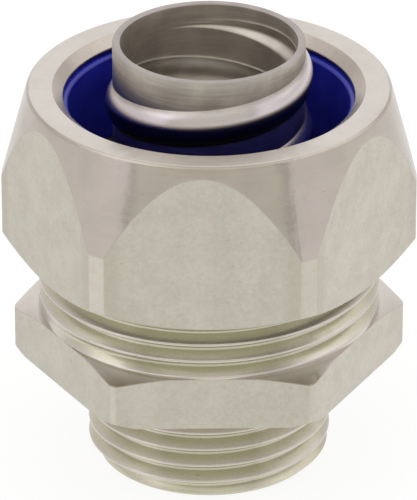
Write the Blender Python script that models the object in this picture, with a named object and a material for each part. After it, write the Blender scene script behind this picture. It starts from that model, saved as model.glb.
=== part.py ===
"""Straight liquidtight conduit connector with an M20 entry thread, in its hand-tight state.

Four separate pieces lie on one vertical axis.  The entry body is turned from hexagon brass and
has a right-hand thread at both ends.  The ferrule is pressed from thin stainless tube, with a
helical bead rolled into its wall, and rests on a shoulder in the body.  The plastic sealing
ring hangs under the lip of the compression nut, and the nut screws down over the body's neck.

The origin is the centre of the entry thread's end face, +Z runs along the axis towards the
conduit, and every length is in metres.
"""

import math

import bmesh
import bpy

# Conduit that the connector takes
CONDUIT_DIAMETER = 0.0211
CONDUIT_WALL = 0.00255
CONDUIT_FIT = 0.0002

# Running gap between pieces that seat on or turn about each other
GAP = 0.0003

# Right-hand threads; a crest's height is taken on the +X side, above the thread's lower end
ENTRY_THREAD_DIAMETER = 0.0200
THREAD_PITCH = 0.0015
THREAD_DEPTH = 0.6134 * THREAD_PITCH
THREAD_FLANK = math.radians(30)
THREAD_CREST = THREAD_PITCH / 8
ENTRY_CREST = 0.00063
NECK_CREST = 0.00048
TIGHTENING_TURNS = 1.0

# Entry body
ENTRY_LENGTH = 0.0090
ENTRY_COLLAR = 0.0002
HEXAGON_HEIGHT = 0.0045
HEXAGON_CORNER_STAND = 0.0020
HEXAGON_TOP_SHOULDER = 0.00035
HEXAGON_TOP_BEVEL = math.radians(20)
HEXAGON_FOOT_BEVEL_WIDTH = 0.0007
HEXAGON_FOOT_BEVEL = math.radians(30)
NECK_LENGTH = 0.0121
NECK_WALL = 0.00018
NECK_GROOVE_WIDTH = 0.0002
NECK_THREAD_START = math.radians(67)
MOUTH_LAND = 0.0004
ENTRY_WALL = 0.00188
WIRE_BORE_BEVEL = 0.0005
BODY_TURN = math.radians(1.15)

# Ferrule
FERRULE_FIT = 0.0002
FERRULE_LENGTH = 0.01571
FERRULE_SHEET = 0.00063
FERRULE_BEND = 0.0008
CUP_BEND = 0.0003
CUP_HEIGHT = 0.0014
FERRULE_EDGE = 0.00018

# Helical bead rolled into the ferrule's wall
BEAD_RISE = 0.0006
BEAD_WIDTH = 0.0032
BEAD_CROWN = 2.2
BEAD_PITCH = 0.00525
BEAD_BELOW_RIM = 0.0018
BEAD_FOOT = 0.0048
BEAD_START = math.radians(122)
BEAD_LEAD_IN = math.radians(65)
BEAD_FADE_IN = math.radians(100)
BEAD_SPREAD = math.radians(150)
BEAD_FADE_OUT = math.radians(60)
BEAD_START_WIDTH = 0.12

# Sealing ring
RING_PLAY = 0.00085
RING_WALL = 0.0015
RING_NOSE_EDGE = 0.00045
RING_BEVEL = 0.0002
SEAT_ANGLE = math.radians(15)

# Compression nut
NUT_STANDOFF = 0.0050
NUT_HEIGHT = 0.0144
NUT_WALL = 0.0007
NUT_CORNER_STAND = 0.00193
NUT_TOP_STEP = 0.00025
NUT_CONE = math.radians(15)
NUT_FOOT_BEVEL = math.radians(30)
NUT_FOOT_STEP = 0.0001
NUT_EDGE_RADIUS = 0.0004
NUT_THREAD_BEVEL = 0.00025
LIP_PLAY = 0.00125
LIP_THICKNESS = 0.0009
LIP_BEVEL_WIDTH = 0.00088
LIP_BEVEL_DEPTH = 0.0007
NUT_TURN = math.radians(-2.0)

# Facets
SEGMENTS = 54
FERRULE_ROW = 0.0006
ARC_STEPS = 3
THREAD_END_STEP = THREAD_PITCH / 40
MERGE_DISTANCE = 1e-7

# Radii that follow from the sizes above
CONDUIT_RADIUS = CONDUIT_DIAMETER / 2
ENTRY_RADIUS = ENTRY_THREAD_DIAMETER / 2
ENTRY_ROOT_RADIUS = ENTRY_RADIUS - THREAD_DEPTH
WIRE_BORE_RADIUS = ENTRY_ROOT_RADIUS - ENTRY_WALL
FERRULE_RADIUS = CONDUIT_RADIUS - CONDUIT_WALL - FERRULE_FIT
CUP_INNER_RADIUS = CONDUIT_RADIUS + CONDUIT_FIT
CUP_RADIUS = CUP_INNER_RADIUS + FERRULE_SHEET
SEAT_RADIUS = CUP_RADIUS + GAP
RING_BORE_RADIUS = CONDUIT_RADIUS + RING_PLAY
RING_RADIUS = RING_BORE_RADIUS + RING_WALL
NECK_ROOT_RADIUS = RING_RADIUS + NECK_WALL
NECK_RADIUS = NECK_ROOT_RADIUS + THREAD_DEPTH
HEXAGON_CORNER_RADIUS = NECK_RADIUS + HEXAGON_CORNER_STAND
NUT_BORE_RADIUS = NECK_RADIUS + GAP
NUT_FLAT_RADIUS = NUT_BORE_RADIUS + NUT_WALL
NUT_CORNER_RADIUS = NUT_FLAT_RADIUS + NUT_CORNER_STAND
NUT_TOP_RADIUS = NUT_FLAT_RADIUS - NUT_TOP_STEP
NUT_CAVITY_RADIUS = RING_RADIUS + GAP
LIP_RADIUS = CONDUIT_RADIUS + LIP_PLAY

# Heights that follow from the sizes above
HEXAGON_TOP = ENTRY_LENGTH + HEXAGON_HEIGHT
BODY_TOP = HEXAGON_TOP + NECK_LENGTH
NUT_FOOT = HEXAGON_TOP + NUT_STANDOFF
TIGHTENING_TRAVEL = TIGHTENING_TURNS * THREAD_PITCH
RING_TOP = NUT_FOOT + NUT_HEIGHT - LIP_THICKNESS - GAP
RING_SHOULDER = BODY_TOP + TIGHTENING_TRAVEL + GAP / math.sin(SEAT_ANGLE)
RING_NOSE_LENGTH = (RING_WALL - RING_NOSE_EDGE) / math.tan(SEAT_ANGLE)
RING_FOOT = RING_SHOULDER - RING_NOSE_LENGTH
CUP_TOP = RING_FOOT - TIGHTENING_TRAVEL - GAP
FERRULE_FOOT = CUP_TOP - CUP_HEIGHT
SEAT_HEIGHT = FERRULE_FOOT - GAP


def clear_scene():
    """Remove whatever the scene holds."""
    for item in list(bpy.data.objects):
        bpy.data.objects.remove(item, do_unlink=True)


def finish_material(name, colour, metallic, roughness):
    """Return a material with one colour, metallic value and roughness."""
    material = bpy.data.materials.new(name)
    material.use_nodes = True
    shader = material.node_tree.nodes["Principled BSDF"]
    shader.inputs["Base Color"].default_value = (*colour, 1.0)
    shader.inputs["Metallic"].default_value = metallic
    shader.inputs["Roughness"].default_value = roughness
    material.diffuse_color = (*colour, 1.0)
    return material


def arc(centre, radius, start, stop, steps=ARC_STEPS):
    """Return points (radius, height) along an arc, from one angle to the other in degrees."""
    points = []
    for step in range(steps + 1):
        angle = math.radians(start + (stop - start) * step / steps)
        points.append((centre[0] + radius * math.cos(angle), centre[1] + radius * math.sin(angle)))
    return points


def add_object(name, mesh_data, material=None):
    """Link a finished bmesh to the scene as a named object."""
    mesh = bpy.data.meshes.new(name)
    bmesh.ops.recalc_face_normals(mesh_data, faces=mesh_data.faces)
    mesh_data.to_mesh(mesh)
    mesh_data.free()
    item = bpy.data.objects.new(name, mesh)
    bpy.context.scene.collection.objects.link(item)
    if material:
        mesh.materials.append(material)
        mesh.shade_smooth()
        mesh.set_sharp_from_angle(angle=math.radians(25))
    return item


def turned_piece(name, profile, material):
    """Spin a closed profile of (radius, height) points about the axis into one solid."""
    mesh_data = bmesh.new()
    ring = [mesh_data.verts.new((radius, 0.0, height)) for radius, height in profile]
    edges = [mesh_data.edges.new((ring[index - 1], ring[index])) for index in range(len(ring))]
    bmesh.ops.spin(
        mesh_data,
        geom=ring + edges,
        cent=(0.0, 0.0, 0.0),
        axis=(0.0, 0.0, 1.0),
        angle=2 * math.pi,
        steps=SEGMENTS,
        use_merge=True,
    )
    bmesh.ops.remove_doubles(mesh_data, verts=mesh_data.verts, dist=MERGE_DISTANCE)
    return add_object(name, mesh_data, material)


def level_rows(profile):
    """Carry each (radius, height) point of a profile round the axis, with the last on the first."""
    return [[point] * (SEGMENTS + 1) for point in profile]


def thread_rows(radius, low, high, crest, trim):
    """Return the rows of a right-hand thread between two heights.

    Each row holds one (radius, height) point for every angle and climbs one pitch a turn, so
    that the rows follow the ridge.  At the two ends they are held level, and points closer to
    an end than THREAD_END_STEP are put on it.  trim(height) gives the largest radius.
    """
    root = radius - THREAD_DEPTH
    flank = THREAD_DEPTH * math.tan(THREAD_FLANK)
    half_crest = THREAD_CREST / 2
    corners = [-half_crest, half_crest, half_crest + flank, THREAD_PITCH - half_crest - flank]
    turns_below = math.ceil((crest - low) / THREAD_PITCH) + 2
    turns_above = math.ceil((high - crest) / THREAD_PITCH) + 1
    rows = []
    for turn in range(-turns_below, turns_above):
        for corner in corners:
            row = []
            for step in range(SEGMENTS + 1):
                start = crest + THREAD_PITCH * step / SEGMENTS
                height = start + THREAD_PITCH * turn + corner
                if height < low + THREAD_END_STEP:
                    height = low
                if height > high - THREAD_END_STEP:
                    height = high
                from_crest = (height - start) % THREAD_PITCH
                from_crest = min(from_crest, THREAD_PITCH - from_crest)
                slope = (from_crest - half_crest) / math.tan(THREAD_FLANK)
                ridge = max(root, radius - max(slope, 0.0))
                row.append((min(ridge, trim(height)), height))
            rows.append(row)
    return rows


def wound_piece(name, rows, material):
    """Join rows that close on themselves, above each other and round the axis, into one solid."""
    mesh_data = bmesh.new()
    loops = []
    for row in rows:
        loop = []
        for step, (radius, height) in enumerate(row):
            angle = 2 * math.pi * step / SEGMENTS
            spot = (radius * math.cos(angle), radius * math.sin(angle), height)
            loop.append(mesh_data.verts.new(spot))
        loops.append(loop)
    for index, loop in enumerate(loops):
        below = loops[index - 1]
        for step in range(SEGMENTS):
            mesh_data.faces.new((below[step], below[step + 1], loop[step + 1], loop[step]))
    bmesh.ops.remove_doubles(mesh_data, verts=mesh_data.verts, dist=MERGE_DISTANCE)
    return add_object(name, mesh_data, material)


def mill_flats(piece, flat_radius, outer_radius, low, high):
    """Cut six flats on a turned piece with a sleeve whose hole is the hexagon."""
    mesh_data = bmesh.new()
    loops = []
    for radius, height in (
        (flat_radius, low),
        (outer_radius, low),
        (outer_radius, high),
        (flat_radius, high),
    ):
        corner = radius / math.cos(math.pi / 6)
        loops.append(
            [
                mesh_data.verts.new((corner * math.cos(angle), corner * math.sin(angle), height))
                for angle in (side * math.pi / 3 for side in range(6))
            ]
        )
    for index, loop in enumerate(loops):
        following = loops[(index + 1) % 4]
        for side in range(6):
            after = (side + 1) % 6
            mesh_data.faces.new((loop[side], loop[after], following[after], following[side]))
    cutter = add_object(piece.name + "_flats", mesh_data)
    cutter.parent = piece
    cutter.hide_render = True
    cutter.display_type = "WIRE"
    cut = piece.modifiers.new("flats", "BOOLEAN")
    cut.operation = "DIFFERENCE"
    cut.solver = "EXACT"
    cut.object = cutter


def entry_trim(height):
    """Return the entry thread's largest radius, which its lead-in cone sets."""
    return ENTRY_ROOT_RADIUS + height


def neck_trim(height):
    """Return the neck thread's largest radius: a steep start below, a lead-in cone above."""
    groove_top = HEXAGON_TOP + NECK_GROOVE_WIDTH
    start = NECK_ROOT_RADIUS + (height - groove_top) * math.tan(NECK_THREAD_START)
    lead_in = RING_RADIUS + MOUTH_LAND + BODY_TOP - height
    return min(start, lead_in)


def build_entry_body(material):
    """Make the body: entry thread, hexagon, threaded neck with a conical mouth, seat and bore."""
    collar_foot = ENTRY_LENGTH - ENTRY_COLLAR
    corner = HEXAGON_CORNER_RADIUS
    foot_bevel_radius = corner - HEXAGON_FOOT_BEVEL_WIDTH
    foot_bevel_rise = HEXAGON_FOOT_BEVEL_WIDTH * math.tan(HEXAGON_FOOT_BEVEL)
    top_bevel_radius = NECK_RADIUS + HEXAGON_TOP_SHOULDER
    top_bevel_drop = (corner - top_bevel_radius) * math.tan(HEXAGON_TOP_BEVEL)
    groove_top = HEXAGON_TOP + NECK_GROOVE_WIDTH
    mouth_depth = (RING_RADIUS - SEAT_RADIUS) / math.tan(SEAT_ANGLE)
    bore = WIRE_BORE_RADIUS
    hexagon = [
        (ENTRY_RADIUS, collar_foot),
        (ENTRY_RADIUS, ENTRY_LENGTH),
        (foot_bevel_radius, ENTRY_LENGTH),
        (corner, ENTRY_LENGTH + foot_bevel_rise),
        (corner, HEXAGON_TOP - top_bevel_drop),
        (top_bevel_radius, HEXAGON_TOP),
        (NECK_ROOT_RADIUS, HEXAGON_TOP),
    ]
    inside = [
        (RING_RADIUS, BODY_TOP),
        (SEAT_RADIUS, BODY_TOP - mouth_depth),
        (SEAT_RADIUS, SEAT_HEIGHT),
        (bore + WIRE_BORE_BEVEL, SEAT_HEIGHT),
        (bore, SEAT_HEIGHT - WIRE_BORE_BEVEL),
        (bore, WIRE_BORE_BEVEL),
        (bore + WIRE_BORE_BEVEL, 0.0),
    ]
    rows = thread_rows(ENTRY_RADIUS, 0.0, collar_foot, ENTRY_CREST, entry_trim)
    rows += level_rows(hexagon)
    rows += thread_rows(NECK_RADIUS, groove_top, BODY_TOP, HEXAGON_TOP + NECK_CREST, neck_trim)
    rows += level_rows(inside)
    body = wound_piece("entry_body", rows, material)
    body.rotation_euler.z = BODY_TURN
    half_groove = NECK_GROOVE_WIDTH / 2
    mill_flats(body, NECK_RADIUS, 2 * corner, ENTRY_LENGTH - half_groove, HEXAGON_TOP + half_groove)
    return body


def smooth_step(value):
    """Rise from 0 to 1 with level ends."""
    value = min(max(value, 0.0), 1.0)
    return value * value * (3 - 2 * value)


def bead_height(azimuth, height):
    """Return how far the rolled bead pushes the ferrule's wall outwards at one point.

    The bead starts near the rim and runs clockwise and down as seen from above.  Its lead-in
    leaves the level start gently and then takes up the full pitch, while the bead widens.
    """
    start_height = FERRULE_LENGTH - BEAD_BELOW_RIM
    sweep = 2 * math.pi * (start_height - BEAD_FOOT) / BEAD_PITCH + BEAD_LEAD_IN
    run = (BEAD_START - azimuth) % (2 * math.pi)
    rise = 0.0
    while run < sweep:
        fall = run - BEAD_LEAD_IN * (1 - math.exp(-run / BEAD_LEAD_IN))
        centre = start_height - BEAD_PITCH * fall / (2 * math.pi)
        fade_out = smooth_step((sweep - run) / BEAD_FADE_OUT)
        strength = smooth_step(run / BEAD_FADE_IN) * fade_out
        spread = smooth_step(run / BEAD_SPREAD) * fade_out
        half_width = BEAD_WIDTH / 2 * (BEAD_START_WIDTH + (1 - BEAD_START_WIDTH) * spread)
        offset = (height - centre) / half_width
        if abs(offset) < 1:
            rise += BEAD_RISE * strength * (1 - abs(offset) ** BEAD_CROWN)
        run += 2 * math.pi
    return rise


def build_ferrule(material):
    """Form the ferrule: a tube with a rolled helical bead, flared into a shallow cup."""
    outer = FERRULE_RADIUS
    inner = outer - FERRULE_SHEET
    wall_foot = FERRULE_SHEET + FERRULE_BEND
    wall_top = FERRULE_LENGTH - FERRULE_EDGE
    rows = max(2, round((wall_top - wall_foot) / FERRULE_ROW))
    heights = [wall_foot + (wall_top - wall_foot) * row / rows for row in range(rows + 1)]
    bend = (outer + FERRULE_BEND, wall_foot)
    cup_bend = (CUP_INNER_RADIUS - CUP_BEND, FERRULE_SHEET + CUP_BEND)
    flange = arc(bend, FERRULE_BEND, 180, 270)[1:]
    flange += arc(cup_bend, CUP_BEND, -90, 0)
    flange += [(CUP_INNER_RADIUS, CUP_HEIGHT), (CUP_RADIUS, CUP_HEIGHT)]
    flange += arc(cup_bend, CUP_BEND + FERRULE_SHEET, 0, -90)
    flange += arc(bend, FERRULE_BEND + FERRULE_SHEET, 270, 180)[:-1]
    rim = [(inner + FERRULE_EDGE, FERRULE_LENGTH), (outer - FERRULE_EDGE, FERRULE_LENGTH)]
    profile = [(outer, height) for height in reversed(heights)] + flange
    profile += [(inner, height) for height in heights] + rim
    ferrule = turned_piece("ferrule", profile, material)
    for vertex in ferrule.data.vertices:
        x, y, height = vertex.co
        radius = math.hypot(x, y)
        if height < wall_foot or radius > outer + FERRULE_BEND / 2:
            continue
        stretch = 1 + bead_height(math.atan2(y, x), height) / radius
        vertex.co.x = x * stretch
        vertex.co.y = y * stretch
    ferrule.location.z = FERRULE_FOOT
    return ferrule


def build_sealing_ring(material):
    """Mould the sealing ring: a short sleeve with a tapered nose that enters the body's mouth."""
    height = RING_TOP - RING_FOOT
    profile = [
        (RING_BORE_RADIUS, 0.0),
        (RING_BORE_RADIUS + RING_NOSE_EDGE, 0.0),
        (RING_RADIUS, RING_NOSE_LENGTH),
        (RING_RADIUS, height - RING_BEVEL),
        (RING_RADIUS - RING_BEVEL, height),
        (RING_BORE_RADIUS + RING_BEVEL, height),
        (RING_BORE_RADIUS, height - RING_BEVEL),
    ]
    ring = turned_piece("sealing_ring", profile, material)
    ring.location.z = RING_FOOT
    return ring


def build_compression_nut(material):
    """Turn the nut: hexagon under a steep cone, an inward lip and a threaded bore."""
    corner = NUT_CORNER_RADIUS
    foot_radius = NUT_FLAT_RADIUS - NUT_FOOT_STEP
    foot_rise = (corner - foot_radius) * math.tan(NUT_FOOT_BEVEL)
    cone_foot = NUT_HEIGHT - (corner - NUT_TOP_RADIUS) / math.tan(NUT_CONE)
    edge_inset = NUT_EDGE_RADIUS * math.tan((math.pi / 2 - NUT_CONE) / 2)
    edge_centre = (NUT_TOP_RADIUS - edge_inset, NUT_HEIGHT - NUT_EDGE_RADIUS)
    thread_top = BODY_TOP + TIGHTENING_TRAVEL + 2 * GAP - NUT_FOOT
    cavity_foot = thread_top + NUT_BORE_RADIUS - NUT_CAVITY_RADIUS
    profile = [
        (NUT_BORE_RADIUS + NUT_THREAD_BEVEL, 0.0),
        (foot_radius, 0.0),
        (corner, foot_rise),
        (corner, cone_foot),
        *arc(edge_centre, NUT_EDGE_RADIUS, math.degrees(NUT_CONE), 90),
        (LIP_RADIUS + LIP_BEVEL_WIDTH, NUT_HEIGHT),
        (LIP_RADIUS, NUT_HEIGHT - LIP_BEVEL_DEPTH),
        (LIP_RADIUS, NUT_HEIGHT - LIP_THICKNESS),
        (NUT_CAVITY_RADIUS, NUT_HEIGHT - LIP_THICKNESS),
        (NUT_CAVITY_RADIUS, cavity_foot),
        (NUT_BORE_RADIUS, thread_top),
        (NUT_BORE_RADIUS, NUT_THREAD_BEVEL),
    ]
    nut = turned_piece("compression_nut", profile, material)
    nut.location.z = NUT_FOOT
    nut.rotation_euler.z = NUT_TURN
    mill_flats(nut, NUT_FLAT_RADIUS, 2 * corner, -GAP, NUT_HEIGHT + GAP)
    return nut


def build_connector():
    """Build the four pieces at their places on the axis."""
    clear_scene()
    nickel = finish_material("nickel_plate", (0.56, 0.53, 0.47), 1.0, 0.28)
    steel = finish_material("stainless_steel", (0.42, 0.40, 0.35), 1.0, 0.25)
    nylon = finish_material("blue_nylon", (0.010, 0.018, 0.20), 0.0, 0.35)
    build_entry_body(nickel)
    build_ferrule(steel)
    build_sealing_ring(nylon)
    build_compression_nut(nickel)


build_connector()
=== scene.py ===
"""Liquidtight conduit connector: the dressed model, its light and its camera."""

# %% [markdown]
# A liquidtight connector joins a flexible conduit to an enclosure. This one stands on its entry
# thread: a nickel-plated hexagon body below, a coned nut run down by hand on it, a blue sealing
# ring under the nut's lip, and a thin steel ferrule with a rolled bead that the conduit would be
# screwed over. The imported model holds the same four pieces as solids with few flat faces. This
# file lays fine surfaces over them in the same frame, with rounded edges, threads that run out
# as cut ones do, and a finish for each kind of face.

# %% Load the frame
import bmesh
import bpy
import math
import numpy as np
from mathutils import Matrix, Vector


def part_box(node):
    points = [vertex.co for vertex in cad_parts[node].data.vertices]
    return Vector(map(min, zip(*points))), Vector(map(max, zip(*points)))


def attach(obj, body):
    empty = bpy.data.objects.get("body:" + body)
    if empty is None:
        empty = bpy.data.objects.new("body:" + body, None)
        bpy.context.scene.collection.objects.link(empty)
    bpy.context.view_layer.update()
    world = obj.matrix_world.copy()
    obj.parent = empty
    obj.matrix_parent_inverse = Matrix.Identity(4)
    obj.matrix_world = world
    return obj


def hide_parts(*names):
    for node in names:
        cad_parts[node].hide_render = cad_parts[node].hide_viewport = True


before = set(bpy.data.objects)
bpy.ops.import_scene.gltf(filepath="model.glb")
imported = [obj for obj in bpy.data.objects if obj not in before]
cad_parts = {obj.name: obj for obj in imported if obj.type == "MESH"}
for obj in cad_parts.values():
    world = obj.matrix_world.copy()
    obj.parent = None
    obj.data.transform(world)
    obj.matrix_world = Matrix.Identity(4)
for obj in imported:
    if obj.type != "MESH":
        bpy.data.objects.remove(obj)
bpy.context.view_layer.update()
MM = 0.001

# %% [markdown]
# The camera stands where the photograph's camera stood, nearly half a metre away and looking
# down at about 27 degrees. It was found by fitting the outlines of the threads, the flats and
# the rim. A long lens keeps the hexagons nearly parallel, as in a catalogue picture.

# %% Camera
LOOKING_DOWN = 27.505

camera_data = bpy.data.cameras.new("camera")
camera_data.lens = 404.9
camera_data.sensor_width = 36.0
camera = bpy.data.objects.new("camera", camera_data)
camera.location = (-0.00004, -0.4089, 0.23085)
camera.rotation_euler = (math.radians(90 - LOOKING_DOWN), 0.0, 0.0)
bpy.context.scene.collection.objects.link(camera)
bpy.context.scene.camera = camera
print("camera %.2f m away, looking down %.1f degrees" % (camera.location.length, LOOKING_DOWN))

# %% [markdown]
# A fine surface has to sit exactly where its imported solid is, or the pieces would part or run
# into each other when the nut moves. So every piece takes its lowest and highest point from the
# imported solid's box. What a box can't tell, such as a bore or a bevel, is a named size in
# millimetres in the cell that needs it first.

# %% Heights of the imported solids
def heights(node):
    """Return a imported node's lowest and highest point in millimetres."""
    low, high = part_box(node)
    return low.z / MM, high.z / MM


BODY_TOP = heights("entry_body")[1]
NUT_FOOT, NUT_TOP = heights("compression_nut")
RING_FOOT, RING_TOP = heights("sealing_ring")
FERRULE_FOOT, FERRULE_TOP = heights("ferrule")
for node_name in sorted(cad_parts):
    print(node_name, "from %.2f to %.2f mm" % heights(node_name))

# %% [markdown]
# Every piece here has a hole right through it, so each one is a closed profile carried round
# the axis. A plain spin can't make the flats or the threads, so the profile is allowed to change
# with the angle: a row is a line round the piece, and it gives a radius and a height at every
# angle. Rows that follow an edge of the real piece keep that edge clean, whatever its path.
# Points that fall together, such as the first and the last column, are welded.

# %% Rows of points into a mesh
WELD_DISTANCE = 2e-7
SHARP_ANGLE = 42


def skin(name, angles, rows, finishes, choose=None):
    """Make a closed mesh from rows of (radius, height) round the axis, in millimetres.

    choose(centre, normal) names the finish of a face. Without it, all faces take the first.
    """
    rows = np.asarray(rows)
    count, columns = rows.shape[:2]
    radius = rows[:, :, 0]
    points = np.stack([radius * np.cos(angles), radius * np.sin(angles), rows[:, :, 1]], axis=2)
    here = np.arange(count)[:, None] * columns
    following = (np.arange(count)[:, None] + 1) % count * columns
    left = np.arange(columns - 1)
    corners = [here + left, here + left + 1, following + left + 1, following + left]
    faces = np.stack(corners, axis=2).reshape(-1, 4)
    mesh = bpy.data.meshes.new(name)
    mesh.from_pydata((points.reshape(-1, 3) * MM).tolist(), [], faces.tolist())
    weld = bmesh.new()
    weld.from_mesh(mesh)
    bmesh.ops.remove_doubles(weld, verts=weld.verts, dist=WELD_DISTANCE)
    bmesh.ops.recalc_face_normals(weld, faces=weld.faces)
    if choose:
        for face in weld.faces:
            face.material_index = finishes.index(choose(face.calc_center_median() / MM, face.normal))
    weld.to_mesh(mesh)
    weld.free()
    mesh.shade_smooth()
    mesh.set_sharp_from_angle(angle=math.radians(SHARP_ANGLE))
    for finish in finishes:
        mesh.materials.append(finish)
    piece = bpy.data.objects.new(name, mesh)
    bpy.context.scene.collection.objects.link(piece)
    weighted = piece.modifiers.new("large faces keep their normal", "WEIGHTED_NORMAL")
    weighted.keep_sharp = True
    print(name, "has", len(mesh.polygons), "faces")
    return piece


print("edges above", SHARP_ANGLE, "degrees stay sharp")

# %% [markdown]
# No machined edge is truly sharp, and the thin bright line along an edge is what makes metal
# look solid. So every corner of a profile is cut short and bridged by a small curve. A bevel
# modifier would need one width for every edge, while here each corner can have its own.

# %% Rounded profiles
def eased(corners, columns, radius=0.06, steps=3, closed=False):
    """Spread profile corners over all columns and round the inner ones, in millimetres.

    A corner is (radius, height), or (radius, height, rounding) where its rounding is its own.
    """
    chain = []
    for spot in corners:
        pair = [np.broadcast_to(np.asarray(value, float), (columns,)) for value in spot[:2]]
        chain.append((np.stack(pair, axis=1), spot[2] if len(spot) > 2 else radius))
    rows = []
    for index, (corner, ease) in enumerate(chain):
        if not closed and index in (0, len(chain) - 1):
            rows.append(corner)
            continue
        before = chain[index - 1][0] - corner
        after = chain[(index + 1) % len(chain)][0] - corner
        length_before = np.linalg.norm(before, axis=1, keepdims=True)
        length_after = np.linalg.norm(after, axis=1, keepdims=True)
        cut = np.minimum(ease, 0.45 * np.minimum(length_before, length_after))
        start = corner + before / length_before * cut
        end = corner + after / length_after * cut
        for t in np.arange(steps + 1) / steps:
            rows.append((1 - t) ** 2 * start + 2 * t * (1 - t) * corner + t ** 2 * end)
    return rows


print("a rounded corner takes", len(eased([(1, 0), (2, 0), (2, 1)], columns=1)) - 2, "rows")

# %% [markdown]
# A thread is a ridge wound round the piece. If the rows ran level, the ridge would cross them
# and turn into a staircase. So they climb with the thread by one pitch a turn, and are held
# back where the thread starts and ends. The 60 degree ridge has a narrow flat crest and a wider
# root, and a lead-in cone at the free end trims it. Beside a shoulder the cutting tool is drawn
# out while the piece still turns, so the last groove grows shallow over part of a turn.

# %% Thread rows
PITCH = 1.5
THREAD_DEPTH = 0.6134 * PITCH
THREAD_FLANK = math.radians(30)
CREST_HALF_WIDTH = PITCH / 16
THREAD_ROUNDING = 0.07
RUN_OUT_TURNS = 0.17
FULL_TURN = 2 * math.pi


def smooth_step(value):
    """Rise from 0 to 1 with level ends."""
    value = np.clip(value, 0, 1)
    return value * value * (3 - 2 * value)


def ridge_profile(major):
    """Radius and height along one groove, from crest edge to crest edge, rounded."""
    root = major - THREAD_DEPTH
    groove_foot = CREST_HALF_WIDTH + THREAD_DEPTH * math.tan(THREAD_FLANK)
    ridge = [(major, -CREST_HALF_WIDTH), (major, CREST_HALF_WIDTH), (root, groove_foot)]
    ridge += [(root, PITCH - groove_foot), (major, PITCH - CREST_HALF_WIDTH)]
    ridge += [(major, PITCH + CREST_HALF_WIDTH)]
    return np.array(eased(ridge, 1, radius=THREAD_ROUNDING, steps=2))[1:-1, 0]


def thread_rows(angles, crest, major, low, high, trim, first_cut=None):
    """Rows that wind up a right-hand thread between two heights; crest is its height at angle 0.

    trim(radius, height) cuts the lead-in. Below first_cut, in turns up from the crest, the
    groove has run out to the plain cylinder.
    """
    ridge = ridge_profile(major)
    climb = PITCH * angles / FULL_TURN
    first = math.floor((low - crest) / PITCH) - 2
    final = math.ceil((high - crest) / PITCH) + 1
    rows = []
    for turn in range(first, final):
        for offset in ridge[:, 1]:
            height = np.clip(crest + PITCH * turn + offset + climb, low, high)
            above = height - crest - climb
            radius = np.interp(above % PITCH, ridge[:, 1], ridge[:, 0], period=PITCH)
            if first_cut is not None:
                turns_up = np.floor(above / PITCH) + angles / FULL_TURN
                radius = major - (major - radius) * smooth_step((turns_up - first_cut) / RUN_OUT_TURNS)
            rows.append(np.stack([trim(radius, height), height], axis=1))
    return rows


print("the threads are %.2f mm deep at a pitch of %.1f mm" % (THREAD_DEPTH, PITCH))

# %% [markdown]
# A hexagon bar that is turned afterwards has flats, and narrow strips at its corners that still
# belong to the turned cylinder. Where a cone meets a flat the edge is a curve that swings up in
# the middle. Columns are packed closely where flat and strip meet, and the rows find their own
# height at each column, so both edges come out clean.

# %% Flats and their columns
BODY_TURN = math.radians(1.15)
BODY_FLAT = 14.0
BODY_CORNER = 16.0
NUT_TURN = math.radians(-2.0)
NUT_FLAT = 15.0
NUT_CORNER = 16.92
SIXTH = math.radians(60)
EDGE_COLUMNS = np.radians((-0.6, -0.3, -0.15, 0, 0.15, 0.3, 0.6))
NARROWEST_COLUMN = math.radians(0.03)


def columns_round(turn, flat, corner, count=240):
    """Angles round the axis, from 0 to a full turn, closer together beside the corner strips."""
    edge = math.acos(flat / corner)
    middles = [turn + math.radians(30 + 60 * side) for side in range(6)]
    beside = [middle + way * edge + EDGE_COLUMNS for middle in middles for way in (-1, 1)]
    even = np.linspace(0, FULL_TURN, count + 1)
    angles = np.unique(np.concatenate([even, np.concatenate(beside) % FULL_TURN]))
    keep = np.append(np.diff(angles) > NARROWEST_COLUMN, True)
    return angles[keep]


def side_radius(angles, turn, flat, corner, softness=0.03):
    """Radius of a turned hexagon at each angle, with the flat's edge slightly rounded."""
    away = (angles - turn) % SIXTH - SIXTH / 2
    on_flat = flat / np.cos(away)
    nearer = np.minimum(on_flat, corner)
    rest = np.exp((nearer - on_flat) / softness) + np.exp((nearer - corner) / softness)
    return nearer - softness * np.log(rest)


bars = {"body": (BODY_FLAT, BODY_CORNER), "nut": (NUT_FLAT, NUT_CORNER)}
for owner, (flat_radius, corner_radius) in bars.items():
    strip_width = 60 - 2 * math.degrees(math.acos(flat_radius / corner_radius))
    print("corner strips of the %s: %.1f degrees wide" % (owner, strip_width))

# %% [markdown]
# Shader trees read best as formulas. This small class wraps one socket, so that plus, minus and
# times add the Math node that they mean. Its method `node` adds any other node, and `ramp` and
# `mix` are short names for the two that every finish here needs.

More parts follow.
